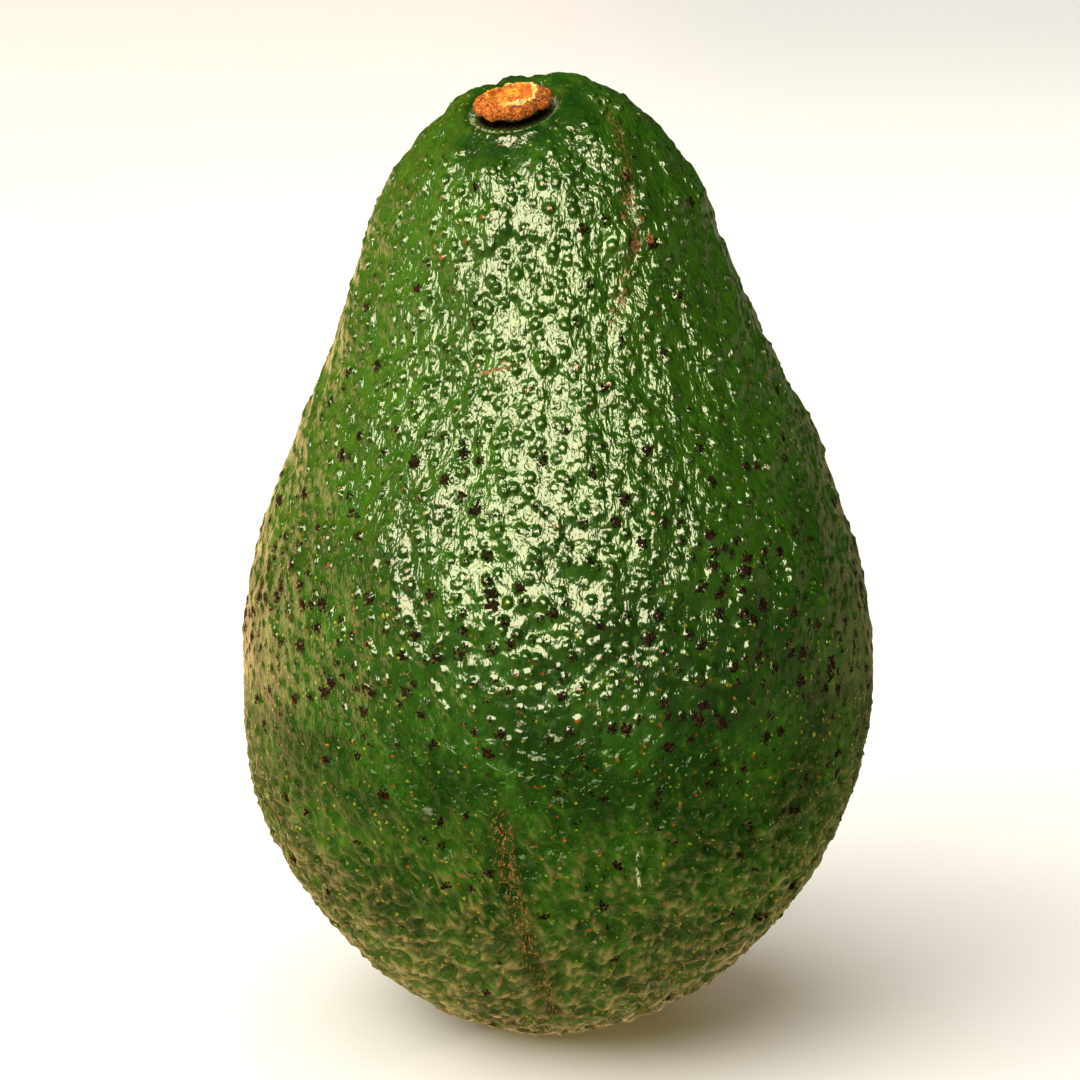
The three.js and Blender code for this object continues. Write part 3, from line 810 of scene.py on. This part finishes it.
def cut_cork(settings):
    """Dry cork of a cut fruit stem: granular orange bark, a yellow rim and a sunken, pitted pith."""
    # To the eye it is matt and crumbly: light catches single grains, and each pit is dark.
    material, tree = new_material("cut_stem_cork")
    value, vector, mix, ramp = "ShaderNodeMath", "ShaderNodeVectorMath", "ShaderNodeMix", "ShaderNodeMapRange"
    grains = "ShaderNodeTexNoise"
    soft, blend = {"interpolation_type": "SMOOTHSTEP"}, {"out": 2, "data_type": "RGBA"}
    coordinates = add(tree, "ShaderNodeTexCoord", out="Object")
    turned = Vector((0, 0, 1)).rotation_difference(Vector(stem_axis)).to_euler()
    seat = tuple((stem_seat + stem_axis * (STUB_GAP - HOLLOW_DEPTH)) * MM)
    mapping = {"Vector": coordinates, "Location": seat, "Rotation": tuple(turned)}
    local = add(tree, "ShaderNodeMapping", mapping, vector_type="TEXTURE")
    place = add(tree, vector, {0: local, "Scale": 1 / MM}, operation="SCALE")
    right = add(tree, "ShaderNodeSeparateXYZ", {0: place}, out="X")
    above = add(tree, "ShaderNodeSeparateXYZ", {0: place}, out="Z")
    flat = add(tree, vector, {0: place, 1: (1, 1, 0)}, operation="MULTIPLY")
    radius = add(tree, vector, {0: flat}, out="Value", operation="LENGTH")
    coarse = add(tree, grains, {"Vector": place, "Scale": 1 / BARK_WAVE, "Detail": 3.0})
    fine = add(tree, grains, {"Vector": place, "Scale": 1 / BARK_GRAIN, "Detail": 2.0})
    pits = add(tree, "ShaderNodeTexVoronoi", {"Vector": place, "Scale": 1 / PITH_PIT}, out="Distance")

    share = add(tree, ramp, {0: fine, 1: 0.36, 2: 0.56}, **soft)
    bark = add(tree, mix, {0: share, 6: opaque(settings.bark_shade), 7: opaque(settings.bark)}, **blend)
    share = add(tree, ramp, {0: fine, 1: 0.58, 2: 0.75}, **soft)
    bark = add(tree, mix, {0: share, 6: bark, 7: opaque(settings.pith)}, **blend)
    share = add(tree, ramp, {0: coarse, 1: 0.4, 2: 0.62}, **soft)
    pith = add(tree, mix, {0: share, 6: opaque(settings.bark), 7: opaque(settings.pith)}, **blend)
    share = add(tree, ramp, {0: pits, 1: 0.3, 2: 0.12}, **soft)
    pith = add(tree, mix, {0: share, 6: pith, 7: opaque(settings.bark_shade)}, **blend)
    waved = add(tree, value, {0: coarse, 1: 0.9, 2: radius}, operation="MULTIPLY_ADD")
    share = add(tree, ramp, {0: waved, 1: 3.3, 2: 3.1}, **soft)
    colour = add(tree, mix, {0: share, 6: bark, 7: pith}, **blend)
    # A yellow ring on the raised rim, on its right side only: the rim's colour, partly a painted highlight where
    # it catches the light.
    inner = add(tree, ramp, {0: waved, 1: 2.75, 2: 3.0}, **soft)
    outer = add(tree, ramp, {0: waved, 1: 3.2, 2: 3.35}, **soft)
    ring = add(tree, value, {0: inner, 1: outer}, operation="SUBTRACT")
    side = add(tree, ramp, {0: right, 1: -1.6, 2: 0.4}, **soft)
    share = add(tree, value, {0: ring, 1: side}, operation="MULTIPLY")
    colour = add(tree, mix, {0: share, 6: colour, 7: opaque(settings.rim)}, **blend)
    # The foot of the stub is painted dark: partly a dry crust, partly painted shade of the gap under it.
    share = add(tree, ramp, {0: above, 1: 0.5, 2: 0.1}, **soft)
    colour = add(tree, mix, {0: share, 6: colour, 7: opaque(settings.underside)}, **blend)

    height = add(tree, value, {0: coarse, 1: 1.2, 2: fine}, operation="MULTIPLY_ADD")
    bump = add(tree, "ShaderNodeBump", {"Height": height, "Strength": 0.9, "Distance": 0.25 * MM})
    dry = {"Base Color": colour, "Roughness": 0.8, "Specular IOR Level": 0.2, "Normal": bump}
    shader = add(tree, "ShaderNodeBsdfPrincipled", dry)
    add(tree, "ShaderNodeOutputMaterial", {"Surface": shader}, out=None)
    return material


def painted_board(name, colour):
    """Matt painted board."""
    # To the eye it is one even pale tone without any gloss, on which only the soft shadow shows.
    material, tree = new_material(name)
    shader = add(tree, "ShaderNodeBsdfPrincipled", {"Base Color": opaque(colour), "Roughness": 0.9})
    add(tree, "ShaderNodeOutputMaterial", {"Surface": shader}, out=None)
    return material


def glowing_reflection_card(settings):
    """A card that glows, though it is no lamp, to give the wax a painted warm reflection: warm behind the fruit
    and to its left, dark in front of it and dimmer to the right.
    """
    # To the eye it is there only in the wax, as a warm sheen that climbs the fruit's lower edges.
    material, tree = new_material("glowing_warm_card")
    ramp, mix = "ShaderNodeMapRange", "ShaderNodeMix"
    soft, blend = {"interpolation_type": "SMOOTHSTEP"}, {"out": 2, "data_type": "RGBA"}
    coordinates = add(tree, "ShaderNodeTexCoord", out="Object")
    across = add(tree, "ShaderNodeSeparateXYZ", {0: coordinates}, out="X")
    deep = add(tree, "ShaderNodeSeparateXYZ", {0: coordinates}, out="Y")
    to_right = add(tree, ramp, {0: across, 1: -0.05, 2: 0.1}, **soft)
    behind = add(tree, ramp, {0: deep, 1: -0.075, 2: -0.02}, **soft)
    colour = add(tree, mix, {0: to_right, 6: opaque(settings.warm_card), 7: opaque(settings.card_shade)}, **blend)
    colour = add(tree, mix, {0: behind, 6: opaque(settings.dark_card), 7: colour}, **blend)
    light = add(tree, "ShaderNodeEmission", {"Color": colour, "Strength": settings.card_strength})
    add(tree, "ShaderNodeOutputMaterial", {"Surface": light}, out=None)
    return material


def finish_piece(piece, node, material):
    """Gives a piece its material and its place in the frame."""
    piece.data.materials.clear()
    piece.data.materials.append(material)
    piece.data.shade_smooth()
    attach(piece, "root")
    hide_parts(node)


class AVOCADO_OT_fruit(bpy.types.Operator):
    """Adds the fruit with its pebbled skin"""

    bl_idname = "avocado.fruit"
    bl_label = "Fruit"

    def execute(self, context):
        deselect_all()
        bpy.ops.mesh.primitive_cube_add(size=2)
        fruit = context.object
        fruit.name = "pebbled_fruit"
        bpy.ops.object.mode_set(mode="EDIT")
        bpy.ops.mesh.select_all(action="SELECT")
        for cuts in SKIN_CUTS:
            bpy.ops.mesh.subdivide(number_cuts=cuts)
        bpy.ops.object.mode_set(mode="OBJECT")
        shape_skin(fruit.data, context.scene.avocado_skin)
        finish_piece(fruit, "fruit", waxy_skin(context.scene.avocado_skin))
        return {"FINISHED"}


class AVOCADO_OT_stem_stub(bpy.types.Operator):
    """Adds the cut stub of the stem in its hollow"""

    bl_idname = "avocado.stem_stub"
    bl_label = "Stem stub"

    def execute(self, context):
        settings = context.scene.avocado_stem
        half = settings.width / 2
        deselect_all()
        start = half * STUB_ROWS[0][0]
        bpy.ops.mesh.primitive_circle_add(vertices=STUB_SIDES, radius=start, fill_type="NGON")
        stub = context.object
        stub.name = "cut_stem"
        bpy.ops.object.mode_set(mode="EDIT")
        bpy.ops.mesh.select_all(action="SELECT")
        for (share, height), (next_share, next_height) in zip(STUB_ROWS, STUB_ROWS[1:]):
            rise = (next_height - height) * MM
            growth = next_share / share
            bpy.ops.mesh.extrude_region_move(TRANSFORM_OT_translate={"value": (0, 0, rise)})
            bpy.ops.transform.resize(value=(growth, growth, 1), center_override=(0, 0, next_height * MM))
        bpy.ops.mesh.select_all(action="SELECT")
        bpy.ops.mesh.normals_make_consistent(inside=False)
        bpy.ops.transform.resize(value=(1, STUB_DEPTH_SHARE, 1), center_override=(0, 0, 0))
        bpy.ops.object.mode_set(mode="OBJECT")
        bpy.ops.object.modifier_add(type="REMESH")
        stub.modifiers[-1].mode = "VOXEL"
        stub.modifiers[-1].voxel_size = STUB_GRID * MM
        bpy.ops.object.modifier_apply(modifier=stub.modifiers[-1].name)
        for name, size, strength in STUB_LAYERS:
            texture = bpy.data.textures.new(name, "CLOUDS")
            texture.noise_scale = size * MM
            texture.noise_depth = 1
            bpy.ops.object.modifier_add(type="DISPLACE")
            modifier = stub.modifiers[-1]
            modifier.texture = texture
            modifier.texture_coords = "LOCAL"
            modifier.strength = strength * MM
            bpy.ops.object.modifier_apply(modifier=modifier.name)
        stub.rotation_mode = "QUATERNION"
        stub.rotation_quaternion = Vector((0, 0, 1)).rotation_difference(Vector(stem_axis))
        stub.location = (stem_seat + stem_axis * (STUB_GAP - HOLLOW_DEPTH)) * MM
        bpy.ops.object.transform_apply(location=True, rotation=True, scale=True)
        finish_piece(stub, "stem_stub", cut_cork(settings))
        return {"FINISHED"}


def aim(thing, target):
    """Turns a lamp or camera so that it looks at a point."""
    thing.rotation_euler = (target - thing.location).to_track_quat("-Z", "Y").to_euler()


def add_window(name, turn, rise, distance, size, power, colour):
    """Adds a rectangular soft lamp, seen from the object at a turn and rise in degrees, that faces it."""
    angle, lift = math.radians(turn), math.radians(rise)
    outward = Vector((math.sin(angle) * math.cos(lift), -math.cos(angle) * math.cos(lift), math.sin(lift)))
    bpy.ops.object.light_add(type="AREA", location=CAMERA_AIM + outward * distance)
    lamp = bpy.context.object
    lamp.name = name
    lamp.data.shape = "RECTANGLE"
    lamp.data.size, lamp.data.size_y = size
    lamp.data.energy = power
    lamp.data.color = colour
    lamp.visible_camera = False
    aim(lamp, CAMERA_AIM)
    return lamp


class AVOCADO_OT_stage(bpy.types.Operator):
    """Adds the floor, the lamps and the camera"""

    bl_idname = "avocado.stage"
    bl_label = "Stage"

    def execute(self, context):
        settings = context.scene.avocado_stage
        deselect_all()
        bpy.ops.mesh.primitive_plane_add(size=FLOOR_SIZE)
        floor = context.object
        floor.name = "pale_floor"
        floor.data.materials.append(painted_board("matt_pale_board", settings.floor))
        # The card glows with a painted warm reflection for the wax to mirror.
        bpy.ops.mesh.primitive_plane_add(size=CARD_SIZE, location=(0, 0, CARD_LIFT))
        card = context.object
        card.name = "warm_card"
        card.data.materials.append(glowing_reflection_card(settings))
        card.visible_camera = card.visible_diffuse = card.visible_shadow = False

        # The wax mirrors the window and the wall, which light nothing else. The other lamps give no gloss.
        window = add_window("window", *WINDOW_PLACE, settings.gloss_strength, settings.window_colour)
        window.visible_diffuse = False
        wall = add_window("warm_wall", *WALL_PLACE, settings.wall_strength, settings.wall_colour)
        wall.visible_diffuse = False
        back = add_window("back_light", *BACK_PLACE, settings.back_strength, settings.lamp_colour)
        back.visible_glossy = False
        soft = add_window("soft_light", *SOFT_PLACE, settings.light_strength, settings.lamp_colour)
        soft.visible_glossy = False
        bpy.ops.object.light_add(type="SUN", location=(0, 0, 1))
        overhead = context.object
        overhead.name = "overhead_light"
        overhead.data.energy = settings.sky_strength
        overhead.data.angle = SKY_WIDTH
        overhead.rotation_euler = SKY_LEAN
        overhead.visible_glossy = False

        world = bpy.data.worlds.new("studio")
        context.scene.world = world
        world.use_nodes = True
        room = world.node_tree.nodes["Background"]
        room.inputs["Color"].default_value = opaque(settings.room_colour)
        room.inputs["Strength"].default_value = ROOM_STRENGTH
        context.scene.view_settings.view_transform = "Standard"

        offset = Vector((0, -math.cos(CAMERA_RISE), math.sin(CAMERA_RISE))) * CAMERA_DISTANCE
        bpy.ops.object.camera_add(location=CAMERA_AIM + offset)
        camera = context.object
        camera.data.lens = CAMERA_LENS
        camera.data.clip_start = 0.01
        aim(camera, CAMERA_AIM)
        context.scene.camera = camera
        return {"FINISHED"}


class AVOCADO_PT_panel(bpy.types.Panel):
    """Lists the pieces and their settings"""

    bl_label = "Avocado"
    bl_idname = "AVOCADO_PT_panel"
    bl_space_type = "VIEW_3D"
    bl_region_type = "UI"
    bl_category = "Avocado"

    def draw(self, context):
        for operator in (AVOCADO_OT_fruit, AVOCADO_OT_stem_stub, AVOCADO_OT_stage):
            self.layout.operator(operator.bl_idname)
        for group in (context.scene.avocado_skin, context.scene.avocado_stem, context.scene.avocado_stage):
            box = self.layout.box()
            for name in group.__annotations__:
                box.prop(group, name)


GROUPS = (("avocado_skin", SkinSettings), ("avocado_stem", StemSettings), ("avocado_stage", StageSettings))
CLASSES = (AVOCADO_OT_fruit, AVOCADO_OT_stem_stub, AVOCADO_OT_stage, AVOCADO_PT_panel)


def register():
    """Makes the settings, operators and panel known."""
    for name, group in GROUPS:
        bpy.utils.register_class(group)
        setattr(bpy.types.Scene, name, bpy.props.PointerProperty(type=group))
    for cls in CLASSES:
        bpy.utils.register_class(cls)


def unregister():
    """Takes them away again."""
    for cls in reversed(CLASSES):
        bpy.utils.unregister_class(cls)
    for name, group in reversed(GROUPS):
        delattr(bpy.types.Scene, name)
        bpy.utils.unregister_class(group)


def main():
    """Builds the avocado on its stage."""
    register()
    bpy.ops.avocado.stage()
    bpy.ops.avocado.fruit()
    bpy.ops.avocado.stem_stub()


if __name__ == "__main__":
    main()
